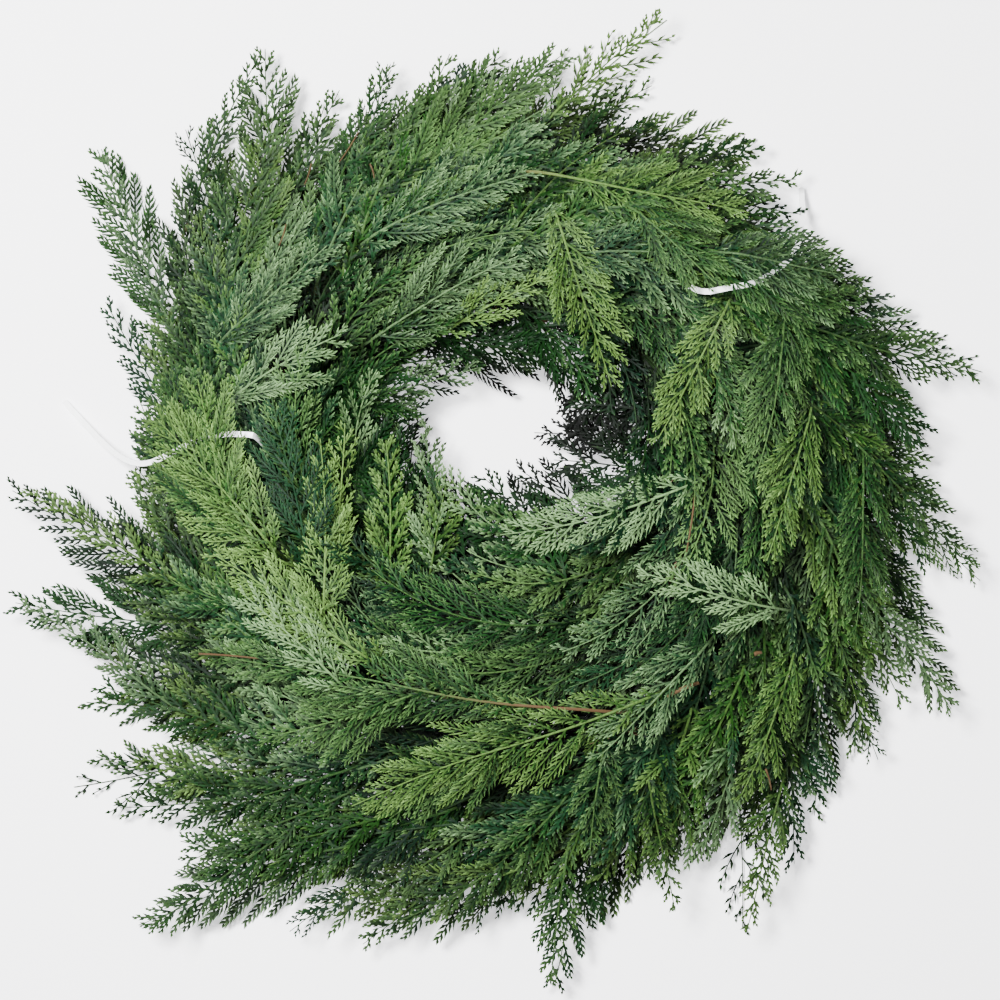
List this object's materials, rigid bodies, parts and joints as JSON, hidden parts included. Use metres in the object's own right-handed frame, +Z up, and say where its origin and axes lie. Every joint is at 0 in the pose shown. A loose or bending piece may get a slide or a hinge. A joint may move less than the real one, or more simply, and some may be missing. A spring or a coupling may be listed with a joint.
{
  "type": "cedar garland",
  "caption": "Fresh cedar garland wound flat into a coil with an open middle, its flat sprays wired to a rope and fanning out past the rim, held by white cable ties.",
  "frame": {"origin": "centre of the coil's outline, on the surface that it lies on", "axes": "+Z up, away from the surface; +Y towards the top of the picture, +X to its right"},
  "size_m": [0.6258, 0.6234, 0.1287],
  "materials": {
    "deep_green": "soft satin scale leaf, deep green",
    "blue_green": "soft satin scale leaf, blue green",
    "fresh_green": "soft satin scale leaf, fresh yellow green",
    "jute_rope": "twisted jute",
    "binding_wire": "green lacquered steel wire",
    "white_nylon": "white nylon"
  },
  "bodies": {
    "root": {"binding_wire": "binding_wire", "cable_tie_left": "white_nylon", "cable_tie_right": "white_nylon", "cedar_top_bunch_01": "deep_green", "cedar_top_bunch_02": "blue_green", "cedar_top_bunch_04": "deep_green", "cedar_top_bunch_05": "blue_green", "cedar_top_bunch_07": "deep_green", "cedar_top_bunch_08": "blue_green", "cedar_top_bunch_10": "deep_green", "cedar_top_bunch_11": "blue_green", "cedar_top_bunch_13": "deep_green", "cedar_top_bunch_14": "blue_green", "cedar_top_bunch_16": "deep_green", "cedar_top_bunch_17": "blue_green", "cedar_top_bunch_19": "deep_green", "cedar_top_bunch_20": "blue_green", "cedar_top_bunch_22": "deep_green", "cedar_top_bunch_23": "blue_green", "cedar_top_bunch_25": "deep_green", "cedar_top_bunch_26": "blue_green", "cedar_top_bunch_28": "deep_green", "cedar_top_bunch_29": "blue_green", "cedar_top_bunch_31": "deep_green", "cedar_top_bunch_32": "blue_green", "cedar_top_bunch_34": "deep_green", "cedar_top_bunch_35": "blue_green", "cedar_top_bunch_37": "deep_green", "cedar_top_bunch_38": "blue_green", "cedar_top_bunch_40": "deep_green", "cedar_top_bunch_41": "blue_green", "cedar_top_bunch_43": "deep_green", "cedar_top_bunch_44": "blue_green", "cedar_top_bunch_46": "deep_green", "cedar_top_bunch_47": "blue_green", "cedar_top_bunch_49": "deep_green", "cedar_top_bunch_50": "blue_green", "cedar_under_bunch_03": "fresh_green", "cedar_under_bunch_06": "fresh_green", "cedar_under_bunch_09": "fresh_green", "cedar_under_bunch_12": "fresh_green", "cedar_under_bunch_15": "fresh_green", "cedar_under_bunch_18": "fresh_green", "cedar_under_bunch_21": "fresh_green", "cedar_under_bunch_24": "fresh_green", "cedar_under_bunch_27": "fresh_green", "cedar_under_bunch_30": "fresh_green", "cedar_under_bunch_33": "fresh_green", "cedar_under_bunch_36": "fresh_green", "cedar_under_bunch_39": "fresh_green", "cedar_under_bunch_42": "fresh_green", "cedar_under_bunch_45": "fresh_green", "cedar_under_bunch_48": "fresh_green", "cedar_under_bunch_51": "fresh_green", "garland_rope": "jute_rope"}
  },
  "joints": []
}
